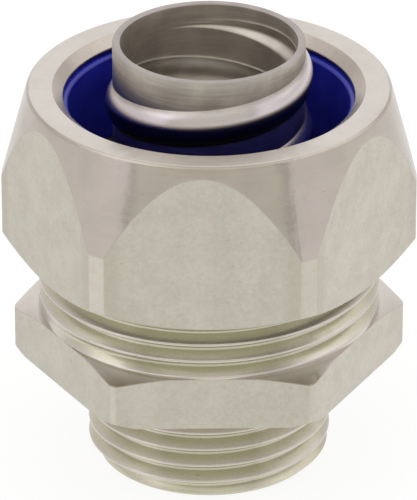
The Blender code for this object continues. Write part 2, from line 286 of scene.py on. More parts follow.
# %% Shader arithmetic
class Signal:
    """One output socket of a node tree, ready for Python arithmetic."""

    def __init__(self, tree, socket=None):
        self.tree = tree
        self.socket = socket

    def node(self, kind, settings=None, values=None, output=0):
        """Add a node: its settings, then the values or links of its sockets."""
        added = self.tree.nodes.new(kind)
        for key, value in (settings or {}).items():
            if key == "stops":
                elements = added.color_ramp.elements
                elements.remove(elements[1])
                elements[0].position, elements[0].color = value[0]
                for position, colour in value[1:]:
                    elements.new(position).color = colour
            else:
                setattr(added, key, value)
        for key, value in (values or {}).items():
            named = [socket for socket in added.inputs if socket.enabled and socket.name == key]
            socket = added.inputs[key] if isinstance(key, int) else named[0]
            if isinstance(value, Signal):
                self.tree.links.new(value.socket, socket)
            else:
                socket.default_value = value
        shown = [socket for socket in added.outputs if socket.enabled]
        chosen = shown[output] if isinstance(output, int) else added.outputs[output]
        return Signal(self.tree, chosen)

    def math(self, operation, first, second=0.0):
        """Add one Math node."""
        return self.node("ShaderNodeMath", {"operation": operation}, {0: first, 1: second})

    def __add__(self, other):
        return self.math("ADD", self, other)

    def __radd__(self, other):
        return self.math("ADD", other, self)

    def __sub__(self, other):
        return self.math("SUBTRACT", self, other)

    def __rsub__(self, other):
        return self.math("SUBTRACT", other, self)

    def __mul__(self, other):
        return self.math("MULTIPLY", self, other)

    def __rmul__(self, other):
        return self.math("MULTIPLY", other, self)

    def ramp(self, start, end):
        """Rise smoothly from 0 at one value to 1 at another."""
        settings = {"interpolation_type": "SMOOTHSTEP"}
        values = {"Value": self, "From Min": start, "From Max": end}
        return self.node("ShaderNodeMapRange", settings, values)

    def mix(self, first, second):
        """Mix two colours with this signal as the factor."""
        values = {"Factor": self, "A": first, "B": second}
        return self.node("ShaderNodeMix", {"data_type": "RGBA"}, values)


print("shader arithmetic ready")

# %% [markdown]
# Shader patterns need to know where on the piece they are. Object coordinates stay with a piece
# when it moves, and they are turned into millimetres, so that a number in a finish can be read
# against the sizes above. The same few steps, such as a distance from the axis, come up in every
# finish, so each one has a name.

# %% Places on a piece
def vector_math(operation, first, second=(0, 0, 0), output=0):
    """Add one Vector Math node."""
    return first.node("ShaderNodeVectorMath", {"operation": operation}, {0: first, 1: second}, output)


def place(signal):
    """Position on the piece in millimetres."""
    return vector_math("MULTIPLY", signal.node("ShaderNodeTexCoord", output="Object"), (1 / MM,) * 3)


def parts(where, axes):
    """The named coordinates of a vector, one signal each."""
    return [where.node("ShaderNodeSeparateXYZ", None, {0: where}, axis) for axis in axes]


def outward(where):
    """The level vector from the axis to a point."""
    return vector_math("MULTIPLY", where, (1, 1, 0))


def from_axis(where):
    """Distance from the axis."""
    return vector_math("LENGTH", outward(where), output="Value")


print("places are in millimetres:", 1 / MM, "to the metre")

# %% [markdown]
# The marks of manufacture decide how each surface looks. Plated flats are slightly mottled in
# every direction. A turned surface has fine rings round the axis, from the tool. So all the
# metals share one noise, which is read either in plain space or along coordinates that are
# squeezed across the rings and stretched along them. A single flat colour would look painted.

# %% Grain, rings and bumps
def grain(where, scale, detail, roughness, seed=0.0):
    """Noise from 0 to 1 with a feature size of about 1 / scale millimetres."""
    moved = vector_math("ADD", where, (seed, 2 * seed, -seed))
    values = {"Vector": moved, "Scale": scale, "Detail": detail, "Roughness": roughness}
    return where.node("ShaderNodeTexNoise", {"noise_dimensions": "3D"}, values)


def round_the_axis(where, across, along):
    """Coordinates that vary quickly across tool marks and slowly along them."""
    unit = vector_math("NORMALIZE", outward(where))
    sideways, depth = parts(vector_math("MULTIPLY", unit, (along,) * 3), "XY")
    level = parts(where, "Z")[0]
    values = {"X": sideways, "Y": depth, "Z": (level + from_axis(where)) * across}
    return where.node("ShaderNodeCombineXYZ", None, values)


def bump(height, strength, distance):
    """Turn a height pattern into a normal; the distance is in metres."""
    values = {"Height": height, "Strength": strength, "Distance": distance}
    return height.node("ShaderNodeBump", None, values)


def new_finish(name):
    """Start a material; return it with its shader and a signal to build from."""
    material = bpy.data.materials.new(name)
    material.use_nodes = True
    return material, material.node_tree.nodes["Principled BSDF"], Signal(material.node_tree)


def feed(shader, **sockets):
    """Set or link the shader's sockets, named with underscores for spaces."""
    for name, value in sockets.items():
        socket = shader.inputs[name.replace("_", " ")]
        if isinstance(value, Signal):
            value.tree.links.new(value.socket, socket)
        else:
            socket.default_value = value


print("patterns ready")

# %% [markdown]
# Nickel plate is a warm grey metal, a little yellower than steel. On the flats it has a faint
# blotchy bloom, greenish here and pinkish there, and tiny pits from the blank under it.
# The turned strip at each corner is lighter, and beside it runs a darker band, which is a painted dark
# reflection. Both follow the angle from the flat's middle, so no mask has to be drawn for them.

# %% Nickel on the flats
GREEN_BLOOM = (0.495, 0.480, 0.400, 1), (0.595, 0.572, 0.490, 1)
PINK_BLOOM = (0.535, 0.500, 0.430, 1), (0.635, 0.592, 0.525, 1)
EDGE_SHADE = (0.43, 0.40, 0.30, 1)
CORNER_STRIP = (0.65, 0.60, 0.52, 1)
PIT = (0.38, 0.36, 0.29, 1)


def milled_nickel(name, turn, flat, corner, strip_and_shade):
    """Plated flats: mottled in pink and green, with fine pits, a lighter corner strip and a painted
    dark band beside it.
    """
    material, shader, signal = new_finish(name)
    where = place(signal)
    sideways, depth = parts(where, "XY")
    # Ten sixths more keep the angle above 0, because a Math node's remainder has a sign
    turned = signal.math("ARCTAN2", depth, sideways) + (10 * SIXTH - turn)
    away = signal.math("ABSOLUTE", signal.math("MODULO", turned, SIXTH) - SIXTH / 2)
    cloud = grain(where, 0.40, 4.0, 0.6).ramp(0.32, 0.68)
    bloom = grain(where, 1.1, 3.0, 0.6, seed=21.0).ramp(0.36, 0.64)
    speck = grain(where, 3.0, 3.0, 0.6, seed=7.0).ramp(0.36, 0.66)
    pit = grain(where, 3.4, 2.0, 0.5, seed=31.0).ramp(0.64, 0.74)
    edge = math.acos(flat / corner)
    strip = away.ramp(edge - 0.004, edge + 0.004)
    # The darker band beside each corner strip is painted shade, a dark reflection put into the colour.
    edge_shade = away.ramp(edge - 0.09, edge - 0.04) * (1 - strip) * (0.4 + 0.6 * cloud)
    dark, light = [bloom.mix(green, pink) for green, pink in zip(GREEN_BLOOM, PINK_BLOOM)]
    tone = (cloud * 0.5 + speck * 0.5).mix(dark, light)
    tone = (edge_shade * strip_and_shade).mix(tone, EDGE_SHADE)
    tone = (strip * strip_and_shade).mix(tone, CORNER_STRIP)
    tone = (pit * 0.35).mix(tone, PIT)
    feed(shader, Base_Color=tone, Metallic=1.0, Roughness=0.26 + 0.14 * bloom + 0.06 * speck)
    height = grain(where, 3.2, 3.0, 0.6, seed=3.0) - pit * 0.6
    feed(shader, Normal=bump(height, 0.6, 0.00002))
    return material


nickel_flats = milled_nickel("hexagon flats", BODY_TURN, BODY_FLAT, BODY_CORNER, strip_and_shade=0.1)
nut_flats = milled_nickel("nut flats", NUT_TURN, NUT_FLAT, NUT_CORNER, strip_and_shade=0.4)
print("made", nickel_flats.name, "and", nut_flats.name)

# %% [markdown]
# On a thread the grooves are painted a yellower olive as shade, and the crests keep the lighter tones
# as a painted highlight.
# On top of the hexagon's two front corners, under the neck's thread, a shadow is painted in dark brown.
# Both can be told from the distance to the axis and the height, which saves a finish for every groove
# and corner.

# %% Painted crest highlights and painted shadow
ENTRY_RADIUS = 10.0
ENTRY_LENGTH = 9.0
NECK_RADIUS = 14.0
HEXAGON_TOP = 13.5
CREST_DROP = 0.40
CREST_EDGE = 0.05


def crest_highlight_mask(reach, level):
    """1 on the crests of both threads, 0 in their grooves."""
    on_neck = level.ramp(ENTRY_LENGTH + 1.0, ENTRY_LENGTH + 2.0)
    neck = reach.ramp(NECK_RADIUS - CREST_DROP, NECK_RADIUS - CREST_EDGE)
    entry = reach.ramp(ENTRY_RADIUS - CREST_DROP, ENTRY_RADIUS - CREST_EDGE)
    return level.math("MAXIMUM", neck, entry * (1 - on_neck))


def painted_shadow_mask(reach, level, depth):
    """1 on top of the hexagon's front corners, where a shadow is painted."""
    above_bevel = level.ramp(HEXAGON_TOP - 1.1, HEXAGON_TOP - 0.9)
    under_thread = 1 - level.ramp(HEXAGON_TOP + 0.1, HEXAGON_TOP + 0.3)
    outside_neck = reach.ramp(NECK_RADIUS + 0.4, BODY_CORNER)
    at_front = (0 - depth).ramp(5.0, 12.0)
    return outside_neck * above_bevel * under_thread * at_front


print("crests fade out over %.2f mm" % (CREST_DROP - CREST_EDGE))

# %% [markdown]
# Turned faces, such as the nut's cone and the threads, are smoother and slightly pinker. Fine
# rings from the tool run round them. Such rings spread a reflection across themselves and keep
# it sharp along them, so the shader is anisotropic, turned a quarter from its natural direction.
# The faces that were cut square to the axis, on top of the hexagon and of the nut, show their rings
# less, and their lighter tone is painted light from above.

# %% Nickel on turned faces
CONE_TONES = (0.475, 0.435, 0.38, 1), (0.56, 0.512, 0.458, 1)
FACED_AND_LIT_TONES = (0.58, 0.545, 0.49, 1), (0.67, 0.63, 0.58, 1)
THREAD_TONES = (0.60, 0.57, 0.51, 1), (0.67, 0.63, 0.575, 1)
THREAD_GROOVE_SHADE = (0.595, 0.575, 0.45, 1)
PAINTED_SHADOW = (0.27, 0.22, 0.15, 1)
STAIN = (0.42, 0.37, 0.28, 1)
SPECK = (0.20, 0.17, 0.13, 1)


def turned_nickel(name, tones, roughness, spread, groove=None):
    """Plated turned faces: smooth, with fine rings round the axis, stains and a few dark specks.

    Where a groove colour is given, it is painted in the grooves as shade, and the threads' crests alone
    keep the tones as a painted highlight.
    """
    material, shader, signal = new_finish(name)
    where = place(signal)
    reach = from_axis(where)
    depth, level = parts(where, "YZ")
    rings = grain(round_the_axis(where, across=4.0, along=0.8), 1.0, 3.0, 0.6)
    cloud = grain(where, 0.30, 3.0, 0.5, seed=11.0).ramp(0.30, 0.70)
    stain = grain(where, 1.1, 4.0, 0.65, seed=17.0).ramp(0.58, 0.78)
    speck = grain(where, 5.0, 2.0, 0.5, seed=23.0).ramp(0.72, 0.78)
    tone = (rings * 0.5 + cloud * 0.5).mix(*tones)
    # Painted shade in the thread grooves, and a painted highlight on the crests
    if groove:
        tone = crest_highlight_mask(reach, level).mix(groove, tone)
    # A painted shadow in dark brown on top of the hexagon's front corners
    tone = (painted_shadow_mask(reach, level, depth) * 0.8).mix(tone, PAINTED_SHADOW)
    tone = (stain * 0.35).mix(tone, STAIN)
    tone = (speck * 0.75).mix(tone, SPECK)
    feed(shader, Base_Color=tone, Metallic=1.0, Roughness=roughness - 0.05 + 0.10 * rings)
    feed(shader, Anisotropic=spread, Anisotropic_Rotation=0.25)
    height = rings * 0.25 + grain(where, 0.4, 2.0, 0.5, seed=41.0)
    feed(shader, Normal=bump(height, 1.0, 0.00004))
    return material


nickel_turned = turned_nickel("turned nickel", CONE_TONES, roughness=0.26, spread=0.9)
# The faces that look up take lighter tones, painted light from above, as well as their own faced
# finish.
nickel_faced_and_lit = turned_nickel("faced nickel", FACED_AND_LIT_TONES, roughness=0.30, spread=0.6)
nickel_threads = turned_nickel("thread nickel", THREAD_TONES, 0.27, 0.5, THREAD_GROOVE_SHADE)
print("made", nickel_turned.name + ",", nickel_faced_and_lit.name, "and", nickel_threads.name)

# %% [markdown]
# The entry body is one piece of turned hexagon bar. Its lower thread goes through the wall of
# the enclosure and its hexagon takes the wrench. A short plain collar parts the thread from the
# seating face. The nut runs on the neck's thread, whose groove runs out where it comes down to
# the hexagon. Inside, the neck opens in a cone for the sealing ring, and a shoulder carries the
# ferrule. All of that is one profile, listed from the thread's end up the outside and back down
# the inside.

# %% Profile of the entry body
ENTRY_CREST = 0.625
COLLAR_FOOT = ENTRY_LENGTH - 0.2
NECK_CREST = HEXAGON_TOP + 0.475
NECK_FIRST_CUT = -0.47
NECK_LEAD_IN = 13.3
HEXAGON_FOOT_FACE = 15.3
HEXAGON_FOOT_BEVEL = math.radians(30)
HEXAGON_TOP_FACE = 14.35
HEXAGON_TOP_BEVEL = math.radians(20)
LEAST_BEVEL = 0.05
LEAST_TOP_FACE = 0.01
MOUTH_RADIUS = 12.9
SEAT_RADIUS = 11.68
SEAT_ANGLE = math.radians(15)
SEAT_HEIGHT = FERRULE_FOOT - 0.3
WIRE_BORE = 7.2
WIRE_BORE_BEVEL = 0.5


def entry_lead_in(radius, height):
    """Cut the entry thread to a cone at its end."""
    return np.minimum(radius, ENTRY_RADIUS - THREAD_DEPTH + height)


def neck_lead_in(radius, height):
    """Cut the neck's thread to a cone at its mouth."""
    return np.minimum(radius, NECK_LEAD_IN + BODY_TOP - height)


def hexagon_rows(angles, neck_foot):
    """Collar, underside, flats and top of the hexagon, in to the foot of the neck."""
    side = side_radius(angles, BODY_TURN, BODY_FLAT, BODY_CORNER)
    foot_face = np.minimum(HEXAGON_FOOT_FACE, side - LEAST_BEVEL)
    rise = (side - foot_face) * math.tan(HEXAGON_FOOT_BEVEL)
    top_face = np.minimum(HEXAGON_TOP_FACE, side - LEAST_BEVEL)
    top_face = np.maximum(top_face, neck_foot + LEAST_TOP_FACE)
    drop = (side - top_face) * math.tan(HEXAGON_TOP_BEVEL)
    corners = [(ENTRY_RADIUS, COLLAR_FOOT), (ENTRY_RADIUS, ENTRY_LENGTH)]
    corners += [(foot_face, ENTRY_LENGTH), (side, ENTRY_LENGTH + rise)]
    corners += [(side, HEXAGON_TOP - drop), (top_face, HEXAGON_TOP), (neck_foot, HEXAGON_TOP)]
    return eased(corners, len(angles), radius=0.05)


def body_rows(angles):
    """The body's profile: entry thread, hexagon, neck thread, and back down the inside."""
    entry = thread_rows(angles, ENTRY_CREST, ENTRY_RADIUS, 0.0, COLLAR_FOOT, entry_lead_in)
    neck_ends = HEXAGON_TOP, BODY_TOP
    neck = thread_rows(angles, NECK_CREST, NECK_RADIUS, *neck_ends, neck_lead_in, NECK_FIRST_CUT)
    cone_foot = BODY_TOP - (MOUTH_RADIUS - SEAT_RADIUS) / math.tan(SEAT_ANGLE)
    inside = [(neck[-1][:, 0], BODY_TOP), (MOUTH_RADIUS, BODY_TOP), (SEAT_RADIUS, cone_foot)]
    inside += [(SEAT_RADIUS, SEAT_HEIGHT), (WIRE_BORE + WIRE_BORE_BEVEL, SEAT_HEIGHT)]
    inside += [(WIRE_BORE, SEAT_HEIGHT - WIRE_BORE_BEVEL), (WIRE_BORE, WIRE_BORE_BEVEL)]
    inside += [(WIRE_BORE + WIRE_BORE_BEVEL, 0.0), (ENTRY_RADIUS - THREAD_DEPTH, 0.0)]
    inside = eased(inside, len(angles), radius=0.1, steps=2)
    return entry + hexagon_rows(angles, neck[0][:, 0]) + neck + inside


print("the ferrule's seat lies %.2f mm below the mouth" % (BODY_TOP - SEAT_HEIGHT))

# %% [markdown]
# A face takes its finish from where it lies and which way it looks, so the mesh needs no list of
# face numbers, which would change with every size. A face on a flat looks level and lies at the
# flat's distance or further out, the hexagon's top looks up, and a thread lies outside its root.
# A little play allows for the faces that round an edge.

# %% Entry body
LOOKS_LEVEL = 0.05
LOOKS_UP = 0.3
FACE_PLAY = 0.05


def body_finish(centre, normal):
    """Give the hexagon's flats the milled finish, its top and both threads their own."""
    reach = centre.xy.length
    if normal.z > LOOKS_UP and HEXAGON_TOP - 1.2 < centre.z < HEXAGON_TOP + 0.01:
        return nickel_faced_and_lit
    if ENTRY_LENGTH < centre.z < HEXAGON_TOP:
        on_flat = abs(normal.z) < LOOKS_LEVEL and reach > BODY_FLAT - FACE_PLAY
        return nickel_flats if on_flat else nickel_turned
    thread_radius = NECK_RADIUS if centre.z > HEXAGON_TOP else ENTRY_RADIUS
    return nickel_threads if reach > thread_radius - THREAD_DEPTH - FACE_PLAY else nickel_turned


body_angles = columns_round(BODY_TURN, BODY_FLAT, BODY_CORNER)
body_finishes = (nickel_turned, nickel_flats, nickel_threads, nickel_faced_and_lit)
body = skin("body", body_angles, body_rows(body_angles), body_finishes, body_finish)
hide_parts("entry_body")
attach(body, "fitting")

# %% [markdown]
# The compression nut is turned from larger hexagon bar: six flats under a steep cone, and a lip
# that turns in over the sealing ring. Its inner thread is the neck's own thread with a little
# play, wound from the same start, so the two stay in mesh as the nut turns and climbs.

# %% Profile of the compression nut
CONDUIT_RADIUS = 10.55
NUT_MOUTH = 14.55
NUT_FOOT_FACE = 14.9
NUT_FOOT_BEVEL = math.radians(30)
NUT_CONE = math.radians(15)
NUT_TOP_RADIUS = 14.75
NUT_CAVITY = 13.2
NUT_PLAY = 0.1
THREAD_TOP = BODY_TOP + PITCH + 0.6
LIP_RADIUS = CONDUIT_RADIUS + 1.25
LIP_FOOT = NUT_TOP - 0.9
LIP_BEVEL_WIDTH = 0.88
LIP_BEVEL_DEPTH = 0.7


def nut_lead_in(radius, height):
    """Open the nut's thread in a cone at its foot."""
    return np.maximum(radius, NUT_MOUTH - (height - NUT_FOOT))


def nut_rows(angles):
    """The nut's profile: up the flats and the cone, over the lip, and down the thread."""
    side = side_radius(angles, NUT_TURN, NUT_FLAT, NUT_CORNER)
    bevel_top = NUT_FOOT + (side - NUT_FOOT_FACE) * math.tan(NUT_FOOT_BEVEL)
    cone_foot = NUT_TOP - (side - NUT_TOP_RADIUS) / math.tan(NUT_CONE)
    outside = [(NUT_MOUTH, NUT_FOOT), (NUT_FOOT_FACE, NUT_FOOT, 0.04)]
    outside += [(side, bevel_top, 0.08), (side, cone_foot, 0.12), (NUT_TOP_RADIUS, NUT_TOP, 0.31)]
    outside += [(LIP_RADIUS + LIP_BEVEL_WIDTH, NUT_TOP, 0.05), (LIP_RADIUS, NUT_TOP - LIP_BEVEL_DEPTH)]
    outside += [(LIP_RADIUS, LIP_FOOT), (NUT_CAVITY, LIP_FOOT), (NUT_CAVITY, THREAD_TOP)]
    thread_radius = NECK_RADIUS + NUT_PLAY
    thread = thread_rows(angles, NECK_CREST, thread_radius, NUT_FOOT, THREAD_TOP, nut_lead_in)
    return eased(outside, len(angles), radius=0.08, steps=4) + thread[::-1]


print("the nut's thread is %.2f mm long" % (THREAD_TOP - NUT_FOOT))

# %% [markdown]
# The nut's flats were milled, its cone was turned, and its narrow top was faced square. The top
# and the cone meet in a rounded edge, so only faces that look straight up count as the top.

# %% Compression nut
def nut_finish(centre, normal):
    """Give the nut's flats the milled finish, and its faced top its own."""
    if normal.z > 0.95 and centre.z > NUT_TOP - 1.0:
        return nickel_faced_and_lit
    on_flat = abs(normal.z) < LOOKS_LEVEL and centre.xy.length > NUT_FLAT - FACE_PLAY
    return nut_flats if on_flat else nickel_turned


nut_angles = columns_round(NUT_TURN, NUT_FLAT, NUT_CORNER)
nut_finishes = (nickel_turned, nut_flats, nickel_faced_and_lit)
nut = skin("nut", nut_angles, nut_rows(nut_angles), nut_finishes, nut_finish)
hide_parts("compression_nut")
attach(nut, "nut")

# %% [markdown]
# The sealing ring is moulded in deep blue nylon. Its nose goes into the body's conical mouth,
# and the nut's lip pushes it down, so that it grips the conduit. Nylon is glossy where the
# mould was polished, with a slow unevenness in colour and gloss that keeps it from looking
# painted. The ring is plain and round, so a spun curve would do, but the same skin as the other
# pieces gives it the same rounded corners, and even columns are enough.

# %% Blue nylon and the sealing ring
RING_PLAY = 0.85
RING_WALL = 1.5
RING_NOSE_EDGE = 0.45
RING_BEVEL = 0.2


def blue_nylon():
    """Moulded nylon: deep blue, semi-gloss, slightly uneven."""
    material, shader, signal = new_finish("blue nylon")
    where = place(signal)
    cloud = grain(where, 0.5, 3.0, 0.5).ramp(0.3, 0.7)
    colour = cloud.mix((0.015, 0.020, 0.40, 1), (0.022, 0.030, 0.50, 1))
    feed(shader, Base_Color=colour, Roughness=0.30 + 0.08 * cloud)
    feed(shader, Normal=bump(grain(where, 0.8, 2.0, 0.5, seed=5.0), 0.3, 0.00002))
    return material


def ring_rows(columns):
    """The ring's profile: nose, sleeve, and bevelled top."""
    bore = CONDUIT_RADIUS + RING_PLAY
    outer = bore + RING_WALL
    shoulder = RING_FOOT + (RING_WALL - RING_NOSE_EDGE) / math.tan(SEAT_ANGLE)
    profile = [(bore, RING_FOOT), (bore + RING_NOSE_EDGE, RING_FOOT), (outer, shoulder)]
    profile += [(outer, RING_TOP - RING_BEVEL), (outer - RING_BEVEL, RING_TOP)]
    profile += [(bore + RING_BEVEL, RING_TOP), (bore, RING_TOP - RING_BEVEL)]
    return eased(profile, columns, radius=0.09, steps=3, closed=True)


ring_angles = np.linspace(0, FULL_TURN, 193)
ring = skin("ring", ring_angles, ring_rows(len(ring_angles)), (blue_nylon(),))
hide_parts("sealing_ring")
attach(ring, "ring")

# %% [markdown]
# The ferrule is thin stainless tube with one bead rolled into it from inside, as a helix, so
# that it screws into the conduit's bore. The bead starts nearly as a point near the rim, runs
# level at first, and widens while it takes up its pitch. Above the cup it fades out. A curve
# with a bevel would only lie on the tube, so the bead is a rule for the wall itself: at every
# angle it says how high the bead's middle is, how wide the bead is and how far it stands out.

# %% Path of the bead
BEAD_START = math.radians(122)
BEAD_LEAD_IN = math.radians(65)
BEAD_FADE_IN = math.radians(100)
BEAD_SPREAD = math.radians(150)
BEAD_FADE_OUT = math.radians(60)
BEAD_PITCH = 5.25
BEAD_WIDTH = 3.2
BEAD_RISE = 0.6
BEAD_START_WIDTH = 0.12
BEAD_TOP = FERRULE_TOP - 1.8
BEAD_FOOT = FERRULE_FOOT + 4.8
RISE_BEFORE_START = 0.07


def bead_at(run):
    """Height, half width and rise of the bead after it has run a number of radians."""
    sweep = FULL_TURN * (BEAD_TOP - BEAD_FOOT) / BEAD_PITCH + BEAD_LEAD_IN
    fall = run - BEAD_LEAD_IN * (1 - np.exp(-np.maximum(run, 0) / BEAD_LEAD_IN))
    # Above its start there is no bead, and the rows only climb out of its way
    fall = np.where(run < 0, -RISE_BEFORE_START * run ** 2, fall)
    fade_out = smooth_step((sweep - run) / BEAD_FADE_OUT)
    spread = smooth_step(run / BEAD_SPREAD) * fade_out
    half_width = BEAD_WIDTH / 2 * (BEAD_START_WIDTH + (1 - BEAD_START_WIDTH) * spread)
    rise = BEAD_RISE * smooth_step(run / BEAD_FADE_IN) * fade_out
    return BEAD_TOP - BEAD_PITCH * fall / FULL_TURN, half_width, rise


quarter_turn_on = bead_at(FULL_TURN / 4)
print("a quarter turn on, half width and rise are %.2f and %.2f mm" % quarter_turn_on[1:])

# %% [markdown]
# The wall keeps its thickness, so the same helix shows as a groove inside. Level rows would cut
# its crease into steps, so the wall's rows wind down with the bead. They stand close together at
# the crease and further apart on the plain wall. Inside, the roller has pushed up a small ridge
# along the groove's upper edge, and the lower flank is softer than the upper one.

# %% Rows down the ferrule's wall
FERRULE_SHEET = 0.63
FERRULE_BEND = 0.8
FERRULE_EDGE = 0.18
WALL_FOOT = FERRULE_FOOT + FERRULE_SHEET + FERRULE_BEND
WALL_TOP = FERRULE_TOP - FERRULE_EDGE
BEAD_CROWN = 2.2
# Shares of the half width, from the bead's upper crease to its lower one
ACROSS_BEAD = np.cos(np.linspace(0, math.pi, 21))
# Height above the crease, and share of the ridge there
ABOVE_CREASE = ((0.30, 0.0), (0.20, 0.25), (0.13, 0.75), (0.08, 1.0), (0.03, 0.75))
RIDGE_SHARE = 0.12
# Share of the way from one turn of the bead down to the next
PLAIN_WALL = (0.04, 0.09, 0.16, 0.26, 0.38, 0.5, 0.62, 0.74)


def wall_rows(angles):
    """Rows of (outer bulge, inner bulge, height) that wind down the ferrule's wall."""
    run = BEAD_START - angles
    rows = []
    # From the turn above the bead's start to the one below its end
    for turn in range(-1, 4):
        centre, half_width, rise = bead_at(run + FULL_TURN * turn)
        plain = np.zeros_like(rise)
        for above, share in ABOVE_CREASE:
            rows.append((plain, -RIDGE_SHARE * rise * share, centre + half_width + above))
        for offset in ACROSS_BEAD:
            outer = 1 - abs(offset) ** BEAD_CROWN
            inner = outer if offset > 0 else 0.5 + 0.5 * math.cos(math.pi * offset)
            rows.append((rise * outer, rise * inner, centre + half_width * offset))
        next_centre, next_half_width, _ = bead_at(run + FULL_TURN * (turn + 1))
        upper = centre - half_width
        lower = next_centre + next_half_width + ABOVE_CREASE[0][0]
        for share in PLAIN_WALL:
            rows.append((plain, plain, upper + (lower - upper) * share))
    return [(outer, inner, np.clip(height, WALL_FOOT, WALL_TOP)) for outer, inner, height in rows]


print("the wall's rows wind down from %.2f to %.2f mm" % (WALL_TOP, WALL_FOOT))

# %% [markdown]
# Stainless sheet is darker and browner than the nickel plate. The roller polishes the bead, so it
# stands out smooth, and its lighter tone is a painted highlight; its underside, which hardly any light
# reaches, is painted nearly black as shade. The rest keeps fine marks round the tube from drawing. The
# bore, which only a mandrel touched, is duller, and its lighter tone is painted light; the cup deep in
# the gap is painted dark as shade, and the cut rim has its own tone. The bead's painted highlight and
# its painted dark underside are masks from the distance to the axis and the way that the surface looks,
# so they follow the bead wherever it runs.

# %% Stainless steel
FERRULE_RADIUS = 7.8
DRAWN_TONES = (0.37, 0.34, 0.30, 1), (0.53, 0.49, 0.44, 1)
BORE_LIT_TONES = (0.55, 0.51, 0.46, 1), (0.70, 0.65, 0.59, 1)
CUP_SHADE_TONES = (0.10, 0.09, 0.08, 1), (0.16, 0.15, 0.13, 1)
RIM_TONES = (0.36, 0.325, 0.31, 1), (0.46, 0.42, 0.40, 1)
BEAD_POLISH_AND_HIGHLIGHT = (0.68, 0.635, 0.64, 1)
UNDER_BEAD_SHADE = (0.09, 0.08, 0.075, 1)


def ferrule_steel(name, tones, roughness, bead_highlight_and_shade=0.0):
    """Drawn stainless sheet: satin, with fine marks round the tube and a polished bead, lighter as a
    painted highlight and painted dark beneath as shade.
    """
    material, shader, signal = new_finish(name)
    where = place(signal)
    reach = from_axis(where)
    upward = parts(signal.node("ShaderNodeTexCoord", output="Normal"), "Z")[0]
    marks = grain(round_the_axis(where, across=5.0, along=1.5), 1.0, 4.0, 0.65)
    cloud = grain(where, 0.5, 3.0, 0.5, seed=4.0).ramp(0.3, 0.7)
    # A lighter tone on the bead is a painted highlight, with a little less roughness where it is
    # polished.
    bead = reach.ramp(FERRULE_RADIUS + 0.02, FERRULE_RADIUS + 0.3) * bead_highlight_and_shade
    off_wall = reach.ramp(FERRULE_RADIUS + 0.01, FERRULE_RADIUS + 0.1)
    # The bead's underside is painted nearly black as shade.
    under = off_wall * (0 - upward).ramp(-0.22, -0.02) * bead_highlight_and_shade
    tone = (marks * 0.75 + cloud * 0.25).ramp(0.25, 0.75).mix(*tones)
    tone = bead.mix(tone, BEAD_POLISH_AND_HIGHLIGHT)
    tone = under.mix(tone, UNDER_BEAD_SHADE)
    feed(shader, Base_Color=tone, Metallic=1.0, Roughness=roughness + 0.14 * marks - 0.06 * bead)
    feed(shader, Normal=bump(marks, 0.6, 0.00001))
    return material


steel_outside = ferrule_steel("ferrule steel", DRAWN_TONES, 0.24, bead_highlight_and_shade=1.0)
# The bore's lighter tones are painted light, added to its duller finish.
steel_inside_lit = ferrule_steel("ferrule bore", BORE_LIT_TONES, 0.38)
# The cup deep in the gap is painted dark as shade.
steel_cup_shaded = ferrule_steel("cup steel", CUP_SHADE_TONES, 0.55)
steel_rim = ferrule_steel("cut rim", RIM_TONES, 0.30)
print("made", steel_outside.name + ",", steel_inside_lit.name + ",", steel_cup_shaded.name, "and", steel_rim.name)

# %% [markdown]
# Below its wall the ferrule flares into a shallow cup, which the conduit's end stops against and
# the body's shoulder carries. The sheet has one thickness everywhere, so each bend's outer
# rounding is its inner one plus the sheet. The closed profile runs down the outside, round the
# cup, up the inside and over the rim.

# %% Ferrule
CUP_RADIUS = CONDUIT_RADIUS + 0.2
CUP_HEIGHT = 1.4
CUP_BEND = 0.3
CUP_EDGE = 0.15
CUP_DEPTH = 2.0
RIM_DEPTH = 0.2


def ferrule_finish(centre, normal):
    """Tell the tube's inside, the cup and the cut rim from the tube's outside."""
    if centre.xy.length > FERRULE_RADIUS + FACE_PLAY and centre.z < FERRULE_FOOT + CUP_DEPTH:
        return steel_cup_shaded
    if normal.z > LOOKS_UP and centre.z > FERRULE_TOP - RIM_DEPTH:
        return steel_rim
    looks_inwards = centre.x * normal.x + centre.y * normal.y < -1
    return steel_inside_lit if looks_inwards else steel_outside


def cup_rows(columns):
    """The flare and the cup, from the outer wall's foot round to the inner wall's."""
    inner = FERRULE_RADIUS - FERRULE_SHEET
    cup_floor = FERRULE_FOOT + FERRULE_SHEET
    cup_top = FERRULE_FOOT + CUP_HEIGHT
    cup_outside = CUP_RADIUS + FERRULE_SHEET
    corners = [(FERRULE_RADIUS, WALL_FOOT), (FERRULE_RADIUS, cup_floor, FERRULE_BEND)]
    corners += [(CUP_RADIUS, cup_floor, CUP_BEND), (CUP_RADIUS, cup_top, CUP_EDGE)]
    corners += [(cup_outside, cup_top, CUP_EDGE), (cup_outside, FERRULE_FOOT, CUP_BEND + FERRULE_SHEET)]
    corners += [(inner, FERRULE_FOOT, FERRULE_BEND + FERRULE_SHEET), (inner, WALL_FOOT)]
    return eased(corners, columns, steps=5)[1:-1]


def ferrule_rows(angles):
    """The ferrule's profile: outer wall, flared cup, inner wall and rim."""
    columns = len(angles)
    inner = FERRULE_RADIUS - FERRULE_SHEET
    wall = wall_rows(angles)
    rim = [(inner, WALL_TOP), (inner, FERRULE_TOP)]
    rim += [(FERRULE_RADIUS, FERRULE_TOP), (FERRULE_RADIUS, WALL_TOP)]
    rows = [np.stack([FERRULE_RADIUS + bulge, height], axis=1) for bulge, _, height in wall]
    rows += cup_rows(columns)
    rows += [np.stack([inner + bulge, height], axis=1) for _, bulge, height in reversed(wall)]
    return rows + eased(rim, columns, radius=FERRULE_EDGE, steps=4)[1:-1]


